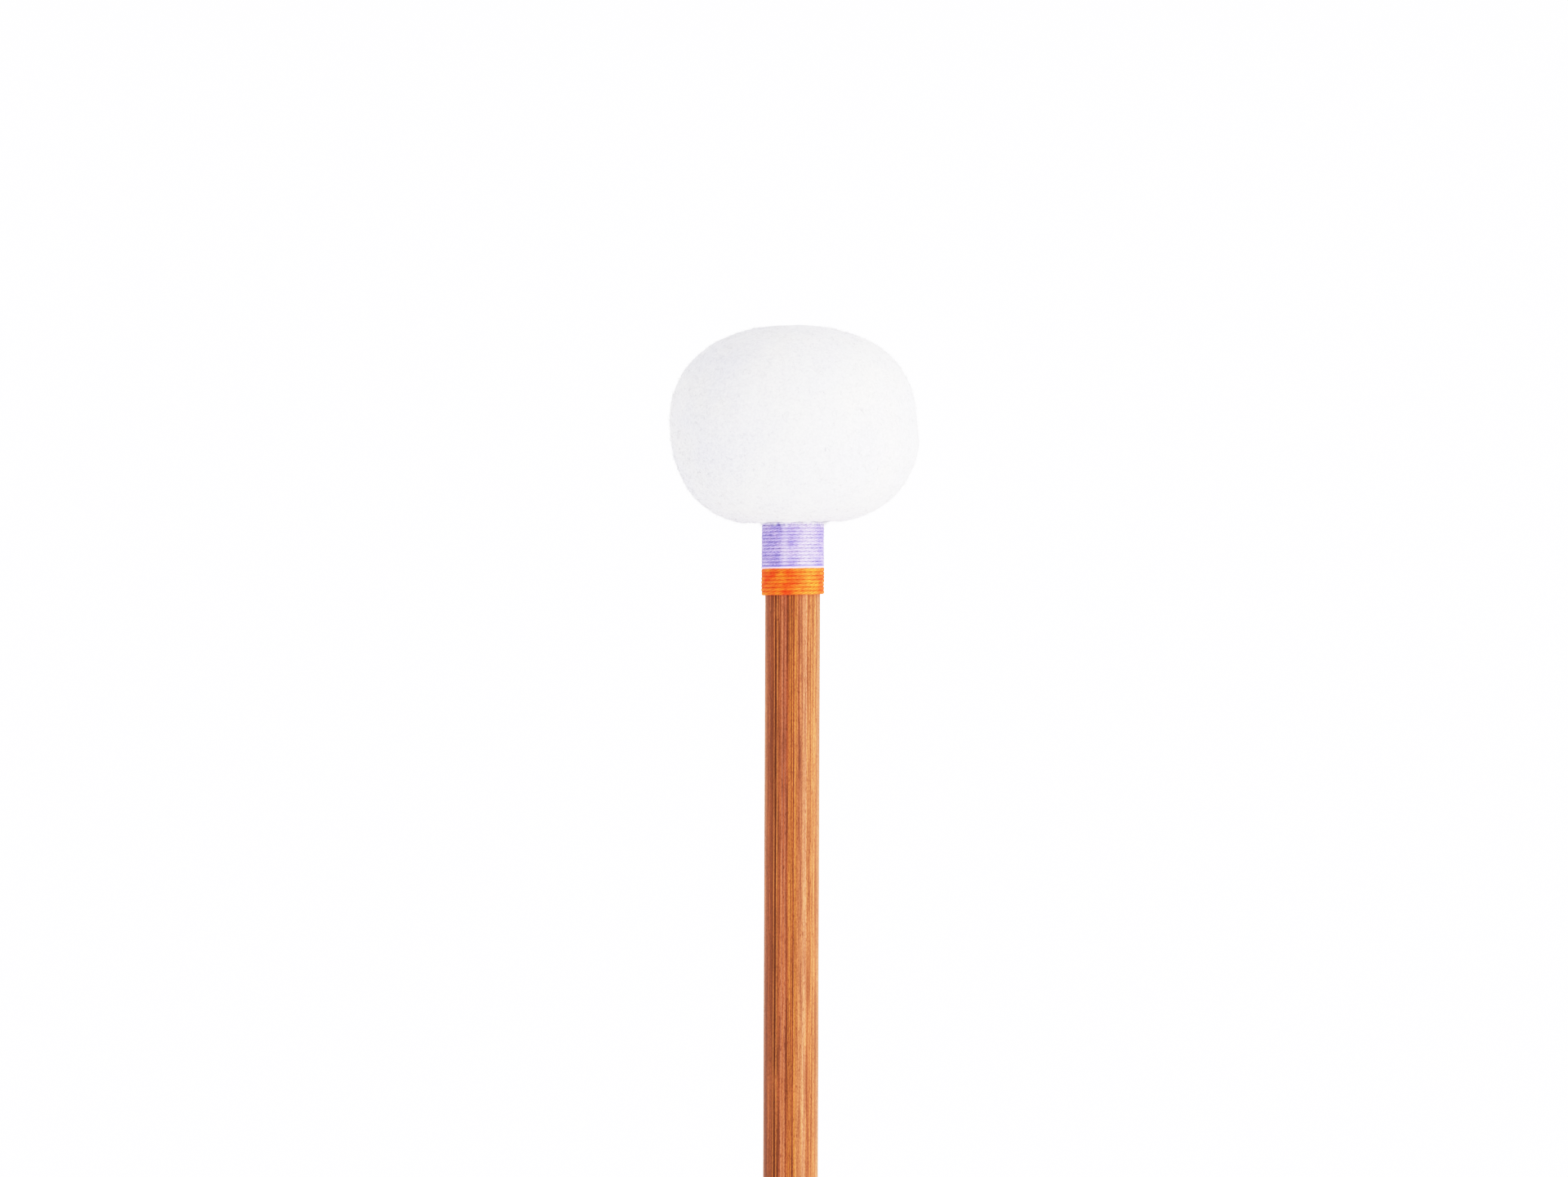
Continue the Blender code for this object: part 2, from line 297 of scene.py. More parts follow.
class Shader(Nodes):
    """A material made of a Principled BSDF and the nodes that feed it."""

    def __init__(self, name, **settings):
        self.material = bpy.data.materials.new(name)
        self.material.use_nodes = True
        super().__init__(self.material.node_tree)
        self.surface = self.tree.nodes["Principled BSDF"]
        for socket, value in settings.items():
            label = socket.replace("_", " ").title().replace("Ior", "IOR")
            self.surface.inputs[label].default_value = value
        self.place = self.add("ShaderNodeTexCoord").outputs["Object"]

    def mapped(self, **settings):
        node = self.add("ShaderNodeMapping")
        self.fill(node.inputs["Vector"], self.place)
        for socket, value in settings.items():
            node.inputs[socket.title()].default_value = value
        return node.outputs["Vector"]

    def noise(self, size, stretch=(1, 1, 1), detail=2.0, roughness=0.5):
        """Noise, 0 to 1, with grains of about the given size, drawn out where stretch is small."""
        node = self.add("ShaderNodeTexNoise")
        self.fill(node.inputs["Vector"], self.mapped(scale=stretch))
        node.inputs["Scale"].default_value = 1 / size
        node.inputs["Detail"].default_value = detail
        node.inputs["Roughness"].default_value = roughness
        return node.outputs["Fac"]

    def from_joint(self):
        """Distances across and behind the plane where the two strips of bamboo meet."""
        across, behind, _ = self.axes(self.mapped(rotation=(0, 0, -math.pi / 2 - GLUE_LINE)))
        return across, behind

    def turn(self):
        """Turns round the shaft from the front glue line, -0.5 to 0.5, with the seam at the back one."""
        across, behind = self.from_joint()
        angle = self.math("ARCTAN2", across, self.math("MULTIPLY", behind, -1))
        return self.math("DIVIDE", angle, math.tau)

    def side(self, degrees, half_width):
        """1 at an angle from the front glue line towards +X, easing to 0 at its half width."""
        off = self.math("ABSOLUTE", self.math("SUBTRACT", self.turn(), degrees / 360))
        return self.range(off, 0, half_width / 360, 1, 0)

    def colour(self, value):
        self.fill(self.surface.inputs["Base Color"], value)

    def bump(self, value, depth):
        """Adds relief on top of any there is: depth in metres for a value from 0 to 1."""
        node = self.add("ShaderNodeBump")
        self.fill(node.inputs["Height"], value)
        node.inputs["Distance"].default_value = depth
        normal = self.surface.inputs["Normal"]
        if normal.links:
            self.fill(node.inputs["Normal"], normal.links[0].from_socket)
        self.fill(normal, node.outputs["Normal"])


# Shaft

DARK_FIBRE = linear(120, 66, 26)
RED_FIBRE = linear(148, 88, 52)
OCHRE_FIBRE = linear(202, 148, 76)
GOLD_FIBRE = linear(206, 148, 100)
PINK_FIBRE = linear(204, 154, 132)
# Fibres that stand out at the front: degrees from the glue line towards +X, half width in
# degrees, strength, colour
STREAKS = (
    (-61, 5.0, 0.45, RED_FIBRE),
    (-51.5, 4.4, 0.50, RED_FIBRE),
    (-46.5, 1.4, 0.50, DARK_FIBRE),
    (-43.5, 1.2, 0.40, OCHRE_FIBRE),
    (-39.4, 2.4, 1.00, DARK_FIBRE),
    (-35.3, 1.2, 0.50, OCHRE_FIBRE),
    (-32.7, 1.2, 0.55, DARK_FIBRE),
    (-24, 2.6, 0.45, PINK_FIBRE),
    (-17.5, 2.4, 0.45, PINK_FIBRE),
    (-9.7, 1.2, 0.40, OCHRE_FIBRE),
    (-6.6, 1.0, 0.75, OCHRE_FIBRE),
    (-4.3, 0.9, 0.60, DARK_FIBRE),
    (-2.2, 0.8, 0.70, OCHRE_FIBRE),
    (4, 1.8, 0.65, OCHRE_FIBRE),
    (8, 1.6, 0.45, GOLD_FIBRE),
    (17, 1.4, 0.35, RED_FIBRE),
    (22.3, 1.2, 0.45, PINK_FIBRE),
    (26.7, 1.1, 0.80, PINK_FIBRE),
    (32, 2.0, 0.40, RED_FIBRE),
    (40.6, 1.5, 0.85, GOLD_FIBRE),
    (45.3, 1.3, 0.50, RED_FIBRE),
    (50.7, 1.7, 0.85, GOLD_FIBRE),
    (57.3, 1.8, 0.45, RED_FIBRE),
)


def squared(shader, value):
    return shader.math("MULTIPLY", value, value)


def bamboo_material():
    """Carbonised bamboo fibres under a clear satin varnish. The left strip is darker than the right: partly
    the strips' own tones, partly painted shade on the left side, away from the key light.
    """
    shader = Shader("bamboo", roughness=0.45, specular_ior_level=0.25, coat_weight=0.2, coat_roughness=0.2)
    broad = shader.noise(1.3 * MM, stretch=(1, 1, 0.010), detail=3)
    # The right strip's lighter stops carry part of the brighter right side, where the key light falls:
    # painted light over the strips' own tones.
    left_stops = [(0.34, linear(149, 94, 60)), (0.5, linear(173, 117, 79)), (0.68, linear(190, 136, 93))]
    right_stops = [(0.34, linear(162, 109, 76)), (0.5, linear(186, 135, 98)), (0.68, linear(199, 151, 113))]
    turn = shader.turn()
    right_of_joint = shader.range(turn, 0, 0.004)
    wood = shader.mix(right_of_joint, shader.ramp(broad, left_stops), shader.ramp(broad, right_stops))
    fine = shader.noise(0.28 * MM, stretch=(1, 1, 0.02), detail=2, roughness=0.6)
    fine_stops = [(0.32, (0.66, 0.60, 0.55, 1)), (0.5, (1, 1, 1, 1)), (0.68, (1.26, 1.25, 1.20, 1))]
    wood = shader.mix(0.9, wood, shader.ramp(fine, fine_stops), "MULTIPLY")
    hairlines = shader.noise(0.15 * MM, stretch=(1, 1, 0.012), detail=1)
    hairline_stops = [(0.34, (0.78, 0.74, 0.68, 1)), (0.5, (1, 1, 1, 1)), (0.66, (1.20, 1.22, 1.20, 1))]
    wood = shader.mix(0.8, wood, shader.ramp(hairlines, hairline_stops), "MULTIPLY")
    wander = shader.math("MULTIPLY", shader.math("SUBTRACT", shader.noise(40 * MM, detail=1), 0.5), 0.012)
    wandering = shader.math("ADD", turn, wander)
    across, behind = shader.from_joint()
    off_axis = shader.math("SQRT", shader.math("ADD", squared(shader, across), squared(shader, behind)))
    on_side = shader.range(off_axis, 3.6 * MM, 4.9 * MM)
    patchy = shader.range(shader.noise(7 * MM, stretch=(0.3, 0.3, 1)), 0.25, 0.55, 0.55, 1)
    patchy = shader.math("MULTIPLY", patchy, on_side)
    for degrees, half_width, strength, colour in STREAKS:
        off = shader.math("ABSOLUTE", shader.math("SUBTRACT", wandering, degrees / 360))
        reach = half_width / 360
        mask = shader.range(off, 0.4 * reach, 1.2 * reach, strength, 0)
        wood = shader.mix(shader.math("MULTIPLY", mask, patchy), wood, colour)
    off_joint = shader.math("ABSOLUTE", across)
    glue = shader.range(off_joint, 0.02 * MM, 0.08 * MM, 0.75, 0)
    wood = shader.mix(glue, wood, linear(112, 58, 20))
    pores = shader.noise(0.22 * MM, stretch=(1, 1, 0.16), detail=1)
    wood = shader.mix(shader.range(pores, 0.60, 0.74, 0, 0.5), wood, DARK_FIBRE)
    speckle = shader.noise(0.13 * MM, stretch=(1, 1, 0.32), detail=1)
    speckle_stops = [(0.34, (0.74, 0.70, 0.66, 1)), (0.5, (1, 1, 1, 1)), (0.66, (1.22, 1.26, 1.32, 1))]
    shader.colour(shader.mix(0.55, wood, shader.ramp(speckle, speckle_stops), "MULTIPLY"))
    shader.bump(fine, 0.05 * MM)
    shader.bump(pores, 0.02 * MM)
    return shader.material


def shaft_profile():
    """(radius, height) from the butt's flat face up to the tenon's tip."""
    shoulder = CORE_BOTTOM - CLEARANCE
    butt = SHAFT_RADIUS - BUTT_ROUNDING
    bend = np.linspace(-math.pi / 2, 0, 14)[1:]
    heights = np.arange(BUTT_ROUNDING + SHAFT_STEP, shoulder, SHAFT_STEP)
    points = [(radius, 0) for radius in np.linspace(0.1 * butt, butt, 6)]
    points += [(butt + BUTT_ROUNDING * math.cos(a), BUTT_ROUNDING * (1 + math.sin(a))) for a in bend]
    points += [(SHAFT_RADIUS, height) for height in heights]
    points += [
        (SHAFT_RADIUS, shoulder),
        (TENON_RADIUS, shoulder),
        (TENON_RADIUS, SHAFT_TIP - TENON_CHAMFER),
        (TENON_RADIUS - TENON_CHAMFER, SHAFT_TIP),
    ]
    return np.array(points)


def make_shaft():
    """The rod, with low ridges along its fibres and a faint groove along each glue line."""
    profile = shaft_profile()
    azimuth = columns(SHAFT_COLUMNS)
    points = spun(profile, azimuth)
    flat = points.reshape(-1, 3)
    ridges = noise_at(flat * (1, 1, 0.01), 0.9 * MM, 21).reshape(points.shape[:2])
    off_joint = np.abs((azimuth - GLUE_LINE + math.pi / 2) % math.pi - math.pi / 2) * SHAFT_RADIUS
    groove = np.exp(-((off_joint / GLUE_GROOVE_REACH) ** 2))
    depth = FIBRE_RIDGE_DEPTH * ridges - GLUE_GROOVE_DEPTH * groove
    points[..., :2] *= (1 + np.minimum(depth, 0) / SHAFT_RADIUS)[..., None]
    rings = len(profile)
    vertices = np.concatenate([points.reshape(-1, 3), [[0, 0, 0], [0, 0, SHAFT_TIP]]])
    total = rings * SHAFT_COLUMNS
    faces = [ring_quads(rings, SHAFT_COLUMNS), end_fans(rings, SHAFT_COLUMNS, total, total + 1)]
    shaft = mesh_object("bamboo_shaft", vertices, faces, bamboo_material())
    shaft.data.set_sharp_from_angle(angle=math.radians(50))
    return shaft


# Head


def crown_points(radius, rise, fullness, steps):
    """Points (radius, height) of a quarter superellipse, from its pole to the widest ring."""
    points = []
    for angle in np.linspace(math.pi / 2, 0, steps):
        across = radius * max(math.cos(angle), 0) ** (2 / fullness)
        points.append((across, HEAD_HEIGHT + rise * math.sin(angle) ** (2 / fullness)))
    return points


def mouth_rise(radius):
    return MOUTH_RISE * (1 - smooth((radius - MOUTH_RADIUS) / MOUTH_REACH))


def outer_profile():
    """The cover's outside, from beside the pole to the mouth and up into the crease."""
    top = crown_points(COVER_RADIUS, TOP_RISE, TOP_FULLNESS, OUTSIDE_POINTS)
    low = crown_points(COVER_RADIUS, BOTTOM_RISE, BOTTOM_FULLNESS, OUTSIDE_POINTS)[::-1]
    low = [(radius, height + mouth_rise(radius)) for radius, height in low if radius > MOUTH_RADIUS]
    wall = MOUTH_RADIUS - 0.1 * MM
    edge = [(wall, low[-1][1] + 0.15 * MM), (wall, LIP_BOTTOM + 0.1 * MM)]
    return even_profile(top + low[1:] + edge, COVER_STEP)[1:]


def inner_profile():
    """From above the crease's mouth, round the lip and up the inside, to beside the pole."""
    on_shaft = SHAFT_RADIUS + CLEARANCE
    lip = on_shaft + LIP_THICKNESS
    corner = 0.3 * MM
    neck = [
        (MOUTH_RADIUS + 0.2 * MM, LIP_BOTTOM + 0.4 * MM),
        (CREASE_RADIUS, LIP_BOTTOM + 0.75 * MM),
        (CREASE_RADIUS, CREASE_ROOF - corner),
        (CREASE_RADIUS - corner, CREASE_ROOF),
        (lip + corner, CREASE_ROOF),
        (lip, CREASE_ROOF - corner),
        (lip, LIP_BOTTOM + corner / 2),
        (lip - corner / 2, LIP_BOTTOM),
        (on_shaft + corner / 2, LIP_BOTTOM),
        (on_shaft, LIP_BOTTOM + corner / 2),
        (on_shaft, CAVITY_FLOOR),
    ]
    radius = COVER_RADIUS - COVER_THICKNESS
    low = crown_points(radius, BOTTOM_RISE + COVER_THICKNESS, BOTTOM_FULLNESS, CAVITY_POINTS)
    low = [point for point in low if point[1] > CAVITY_FLOOR]
    high = crown_points(radius, TOP_RISE - COVER_THICKNESS, TOP_FULLNESS, CAVITY_POINTS)[::-1]
    cavity = [(low[0][0], CAVITY_FLOOR)] + low + high[1:]
    neck_rings = even_profile(neck, NECK_STEP)
    cavity_rings = even_profile(cavity, CAVITY_STEP)[:-1]
    return np.concatenate([neck_rings, cavity_rings])


def bulge(height, centre, reach, size):
    """A swelling of the profile that fades above and below its centre, given from the widest ring."""
    return size * np.exp(-(((height - HEAD_HEIGHT - centre) / reach) ** 2))


def head_lean(azimuth, height):
    """How far the hand-made head is from its smooth form: drawn in low down and on the left, with
    a hem that hangs lower on the left."""
    sideways = np.cos(azimuth)
    right = bulge(height, -2.5 * MM, 3 * MM, 0.2 * MM) * np.maximum(sideways, 0) ** 2
    left = bulge(height, -6 * MM, 7 * MM, 0.5 * MM) * np.maximum(-sideways, 0) ** 2
    drawn_in = bulge(height, -9.5 * MM, 4 * MM, 0.4 * MM)
    hem = bulge(height, BOTTOM_RISE, 3 * MM, (0.5 - 0.35 * sideways) * MM)
    return right - left - drawn_in + hem - NAP_DEPTH


def cover_outside():
    """Points and normals (ring, column, xyz) of the cover's outside, without its nap."""
    profile = outer_profile()
    azimuth = columns(COVER_COLUMNS)
    points = spun(profile, azimuth)
    normals = surface_normals(points)
    radius, height = profile[:, :1], profile[:, 1:]
    shift = head_lean(azimuth, height) * smooth((radius - MOUTH_RADIUS) / MOUTH_REACH)
    lumps = relief(points.reshape(-1, 3), FELT_LUMPS, 1).reshape(shift.shape)
    points = points + normals * (shift + lumps)[..., None]
    points = gathered(points)
    return points, surface_normals(points)


def surface_normals(points):
    """Outward normals of a (ring, column) grid that is closed round Z and runs downwards."""
    around = np.roll(points, -1, axis=1) - np.roll(points, 1, axis=1)
    return unit(np.cross(np.gradient(points, axis=0), around))


def resampled(values, rings, count):
    """Values (ring, column, ...) read at the given ring positions, with another count of columns."""
    below = np.clip(rings.astype(int), 0, len(values) - 2)
    share = (rings - below).reshape(-1, *[1] * (values.ndim - 1))
    rows = values[below] * (1 - share) + values[below + 1] * share
    spectrum = np.fft.rfft(rows, axis=1)
    return np.fft.irfft(spectrum, count, axis=1) * count / values.shape[1]


def gathered(points):
    """The cover's outside with its underside puckered, as a cloth simulation draws it in."""
    radius = np.linalg.norm(points[:, 0, :2], axis=1)
    below = points[:, 0, 2] < HEAD_HEIGHT
    first = int(np.argmax(below & (radius < SIM_OUTER_RADIUS)))
    low = points[first:]
    coarse = resampled(low, np.linspace(0, len(low) - 1, SIM_RINGS), SIM_COLUMNS)
    moved = simulate_gathers(coarse) - coarse
    depth = (moved * surface_normals(coarse)).sum(axis=-1)
    depth -= depth.mean(axis=1, keepdims=True)
    depth = GATHER_LIMIT * np.tanh(depth / GATHER_LIMIT)
    depth = resampled(depth, np.linspace(0, SIM_RINGS - 1, len(low)), COVER_COLUMNS)
    result = points.copy()
    result[first:] += surface_normals(low) * depth[..., None]
    return result


def widened(felt, excess):
    """A grid of felt with extra length round it, and the same length from ring to ring."""
    wide = felt * (1, 1, 0) * (1 + excess)
    length = (np.diff(felt, axis=0) ** 2).sum(axis=-1)
    across = (np.diff(wide, axis=0) ** 2).sum(axis=-1)
    drop = np.sqrt(np.maximum(length - across, 0)).mean(axis=1)
    wide[1:, :, 2] = -np.cumsum(drop)[:, None]
    return wide


def simulate_gathers(design):
    """Settles a grid of felt that is longer round the mouth than the room it has there."""
    radius = np.linalg.norm(design[..., :2], axis=-1, keepdims=True)
    gathering = smooth((GATHER_REACH - radius) / (GATHER_REACH - MOUTH_RADIUS))
    azimuth = columns(SIM_COLUMNS)
    pleats = np.sin(GATHERS * azimuth + 1.3 * np.sin(2 * azimuth + 1) + 0.8 * np.sin(5 * azimuth))
    start = design + surface_normals(design) * gathering * pleats[..., None] * GATHER_START
    outer, inner = SIM_HELD_RINGS
    held_rings = [*range(outer), *range(SIM_RINGS - inner, SIM_RINGS)]
    start[held_rings] = design[held_rings]
    wide = widened(design, GATHER_EXCESS * gathering)
    quads = [ring_quads(SIM_RINGS, SIM_COLUMNS)[:, ::-1]]
    felt = mesh_object("gathering_felt", start.reshape(-1, 3) * SIM_SCALE, quads, None)
    felt.shape_key_add(name="Basis")
    rest = felt.shape_key_add(name="wide")
    rest.data.foreach_set("co", (wide * SIM_SCALE).ravel())
    rest.value = 0
    held = felt.vertex_groups.new(name="held")
    for ring in held_rings:
        held.add(range(ring * SIM_COLUMNS, (ring + 1) * SIM_COLUMNS), 1.0, "REPLACE")
    add_cloth(felt, held, rest)
    for step in range(1, SIM_FRAMES + 1):
        bpy.context.scene.frame_set(step)
    settled = felt.evaluated_get(bpy.context.evaluated_depsgraph_get()).to_mesh()
    positions = np.empty(design.size, np.float32)
    settled.vertices.foreach_get("co", positions)
    bpy.data.meshes.remove(felt.data)  # and the object that shows it
    bpy.context.scene.frame_set(1)
    return positions.reshape(design.shape) / SIM_SCALE


def add_cloth(felt, held, rest):
    """Soft felt under a little pressure from inside, without gravity, held at its two edges."""
    cloth = felt.modifiers.new("cloth", "CLOTH")
    cloth.collision_settings.use_collision = False
    settings = cloth.settings
    settings.vertex_group_mass = held.name
    settings.rest_shape_key = rest
    settings.quality = 8
    settings.mass = 0.1
    settings.tension_stiffness = 60
    settings.compression_stiffness = 60
    settings.shear_stiffness = 20
    settings.bending_stiffness = 8
    settings.air_damping = 4
    settings.use_pressure = True
    settings.uniform_pressure_force = 4
    settings.effector_weights.gravity = 0


def cover_material():
    shader = Shader("cover_felt", roughness=0.95, sheen_weight=0.15)
    cloud = shader.noise(9 * MM, detail=2)
    tone = shader.ramp(cloud, [(0.3, linear(231, 231, 234)), (0.7, linear(236, 235, 233))])
    fuzz = shader.noise(0.5 * MM, detail=3)
    dusk = shader.ramp(fuzz, [(0.3, linear(244, 244, 246)), (0.6, linear(255, 255, 255))])
    shader.colour(shader.mix(1.0, tone, dusk, "MULTIPLY"))
    shader.bump(shader.noise(0.35 * MM, detail=3), 0.08 * MM)
    return shader.material


def nap_material():
    shader = Shader("nap_fibre", roughness=0.9, sheen_weight=0.2)
    shade = shader.noise(3 * MM, detail=1)
    shader.colour(shader.ramp(shade, [(0.3, linear(231, 231, 234)), (0.7, linear(238, 237, 235))]))
    return shader.material


def make_cover(outside, normals):
    """The closed felt skin: napped outside, crease and lip at the neck, and the cavity inside."""
    flat = outside.reshape(-1, 3)
    flat = flat + normals.reshape(-1, 3) * relief(flat, FELT_TUFTS, 3)[:, None]
    inside = inner_profile()
    rings = len(outside) + len(inside)
    poles = [[0, 0, flat[:COVER_COLUMNS, 2].mean()], [0, 0, HEAD_HEIGHT + TOP_RISE - COVER_THICKNESS]]
    turned_inside = spun(inside, columns(COVER_COLUMNS)).reshape(-1, 3)
    vertices = np.concatenate([flat, turned_inside, poles])
    total = rings * COVER_COLUMNS
    faces = [ring_quads(rings, COVER_COLUMNS)[:, ::-1]]
    faces.append(end_fans(rings, COVER_COLUMNS, total, total + 1)[:, ::-1])
    return mesh_object("felt_cover", vertices, faces, cover_material())


def fibre_tubes(name, paths, base_radius, material):
    """Closed, three-sided, tapering fibres along paths (fibre, point, xyz) of four points."""
    count, length = paths.shape[:2]
    tangent = unit(paths[:, -1] - paths[:, 0])
    side = unit(np.cross(tangent, rng.normal(size=(count, 3))))
    other = np.cross(tangent, side)
    around = (np.arange(3) * math.tau / 3)[:, None]
    spread = side[:, None, None] * np.cos(around) + other[:, None, None] * np.sin(around)
    rings = paths[:, :, None] + base_radius * FIBRE_TAPER * spread
    per_fibre = 3 * (length - 1) + 1
    vertices = np.concatenate([rings[:, :-1].reshape(count, -1, 3), paths[:, -1:]], axis=1)
    tip = per_fibre - 1
    top = tip - 3
    triangles = np.array([[2, 1, 0]] + [[top + i, top + (i + 1) % 3, tip] for i in range(3)])
    starts = (np.arange(count) * per_fibre)[:, None, None]
    faces = [(ring_quads(length - 1, 3) + starts).reshape(-1, 4), (triangles + starts).reshape(-1, 3)]
    return mesh_object(name, vertices.reshape(-1, 3), faces, material)


def make_nap(outside, normals, material):
    """Felt fibres that stand and lie on the cover, longer and looser on a few."""
    radius = np.linalg.norm(outside[:, 0, :2], axis=1)
    weight = radius * smooth((radius - MOUTH_RADIUS) / MM + 0.3)
    ring = rng.choice(len(outside), NAP_FIBRES, p=weight / weight.sum())
    column = rng.integers(0, COVER_COLUMNS, NAP_FIBRES)
    normal = normals[ring, column]
    root = outside[ring, column] - FIBRE_ROOT * normal
    lying = unit(np.cross(normal, rng.normal(size=(NAP_FIBRES, 3))))
    rise = rng.uniform(0.15, 0.75, (NAP_FIBRES, 1))
    direction = unit(lying + rise * normal)
    curl = unit(np.cross(direction, normal)) * rng.uniform(-0.5, 0.5, (NAP_FIBRES, 1))
    length = rng.gamma(6.0, 0.17 * MM, (NAP_FIBRES, 1))
    paths = root[:, None] + FIBRE_STEPS * (length * direction)[:, None]
    paths = paths + FIBRE_STEPS**2 * (length * (curl - 0.3 * rise * normal))[:, None]
    return fibre_tubes("cover_nap", paths, NAP_FIBRE_RADIUS, material)


def directions_round(azimuth):
    """Unit vectors away from the shaft's axis and round it."""
    cosine, sine, level = np.cos(azimuth), np.sin(azimuth), 0 * azimuth
    return np.stack([cosine, sine, level], axis=1), np.stack([-sine, cosine, level], axis=1)


def make_neck_nap(material):
    """Short fibres from the gathered edge that lie on the binding's top turns."""
    count = NECK_FIBRES
    outwards, sideways = directions_round(rng.uniform(0, math.tau, count))
    edge = LIP_BOTTOM - 0.4 * MM
    root = outwards * (MOUTH_RADIUS + rng.uniform(-0.6, 0.6, (count, 1)) * MM)
    root[:, 2] = LIP_BOTTOM + 0.05 * MM
    end = outwards * (WOUND_RADIUS + rng.uniform(0.05, 0.3, (count, 1)) * MM)
    end += sideways * rng.normal(0, 0.5, (count, 1)) * MM
    end[:, 2] = edge + (0.3 - rng.gamma(2.0, 0.28, count)) * MM
    bow = outwards * rng.uniform(-0.1, 0.2, (count, 1)) * MM
    paths = root[:, None] * (1 - FIBRE_STEPS) + end[:, None] * FIBRE_STEPS
    paths = paths + 4 * FIBRE_STEPS * (1 - FIBRE_STEPS) * bow[:, None]
    return fibre_tubes("neck_nap", paths, NECK_FIBRE_RADIUS, material)


# Threads


def strand_outline():
    """Radii, 1 at most, round a section of laid strands, with its first point in a groove."""
    strand_offset = 0.8
    from_crest = (np.arange(SECTION_POINTS) / SECTION_POINTS * STRANDS) % 1 - 0.5
    angle = from_crest * math.tau / STRANDS
    reach = strand_offset * np.cos(angle) + np.sqrt(1 - (strand_offset * np.sin(angle)) ** 2)
    return reach / (1 + strand_offset)


def flattened(angle):
    """How much further than a circle's a flattened thread's section reaches in each direction."""
    return (np.abs(np.cos(angle)) ** SQUARENESS + np.abs(np.sin(angle)) ** SQUARENESS) ** (-1 / SQUARENESS)


def wavering(turns, seed, waves=9):
    """A smooth random value, about -1 to 1, along a winding."""
    generator = np.random.default_rng(seed)
    total = np.zeros_like(turns)
    for _ in range(waves):
        total += np.sin(turns * generator.uniform(2, 40) + generator.uniform(0, math.tau))
    return total / math.sqrt(waves)


def wind_thread(name, drum, outer, datum, pitch, first_turn, last_turn, material):
    """A twisted thread wound on a drum. It passes the back of the shaft at the datum height when
    its turn count is 0. Both its ends thin out, lie down and close up to the turn beside them."""
    centre = (drum + outer) / 2
    half_width = (outer - drum) / 2
    half_height = pitch / 2
    count = round((last_turn - first_turn) * math.tau * centre / THREAD_STEP)
    turn = np.linspace(first_turn, last_turn, count)
    azimuth = (math.tau * turn + math.pi / 2)[:, None]
    from_end = np.minimum(turn - first_turn, last_turn - turn)
    thickness = (THREAD_TIP + (1 - THREAD_TIP) * smooth(from_end / THREAD_TAPER))[:, None]
    towards_turns = np.sign((first_turn + last_turn) / 2 - turn)[:, None]
    twist = math.tau * turn * math.tau * centre / LAY_LENGTH + TWIST_DRIFT * wavering(turn, 5)
    angle = twist[:, None] + np.arange(SECTION_POINTS) * math.tau / SECTION_POINTS
    strands = strand_outline()[None, :]
    reach = strands * thickness * flattened(angle)
    laid_down = (1 - thickness) * half_width
    wobble = THREAD_WOBBLE * wavering(turn, 11)[:, None]
    radius = centre + half_width * reach * np.cos(angle) - laid_down + wobble
    radius = np.maximum(radius, drum + 0.01 * MM)
    up = THREAD_CROWDING * half_height * reach * np.sin(angle)
    sway = THREAD_SWAY * wavering(turn, 13)[:, None]
    closing_up = towards_turns * (1 - thickness) * half_height
    height = datum + pitch * turn[:, None] + closing_up + up + sway
    section = np.stack([radius * np.cos(azimuth), radius * np.sin(azimuth), height], axis=-1)
    vertices = np.concatenate([section.reshape(-1, 3), section[[0, -1]].mean(axis=1)])
    total = count * SECTION_POINTS
    faces = [ring_quads(count, SECTION_POINTS)[:, ::-1]]
    faces.append(end_fans(count, SECTION_POINTS, total, total + 1)[:, ::-1])
    winding = mesh_object(name, vertices, faces, material)
    # How deep each point lies between strands and between turns, for the material's painted shade there
    between_strands = (1 - strands) / (1 - strands.min())
    between_turns = 0.6 * np.abs(np.sin(angle)) ** 6
    hollow = np.maximum(between_strands + 0 * angle, between_turns)
    attribute = winding.data.attributes.new("hollow", "FLOAT", "POINT")
    attribute.data.foreach_set("value", np.append(hollow.ravel(), [1, 1]).astype(np.float32))
    return winding


def loose_ends(name, low, high, count, material):
    """Fine ends of fibre that stand out of a winding between two heights."""
    outwards, sideways = directions_round(rng.uniform(0, math.tau, count))
    root = outwards * (WOUND_RADIUS - FIBRE_ROOT)
    root[:, 2] = rng.uniform(low, high, count)
    lying = sideways * rng.choice([-1, 1], (count, 1)) * rng.uniform(0.4, 1, (count, 1))
    direction = lying + outwards * rng.uniform(0.15, 0.6, (count, 1))
    direction[:, 2] = rng.normal(0, 0.35, count)
    length = rng.gamma(4.0, 0.11 * MM, (count, 1))
    paths = root[:, None] + FIBRE_STEPS * (length * direction)[:, None]
    paths = paths - FIBRE_STEPS**2 * (0.3 * length * outwards)[:, None]
    return fibre_tubes(name, paths, LOOSE_END_RADIUS, material)


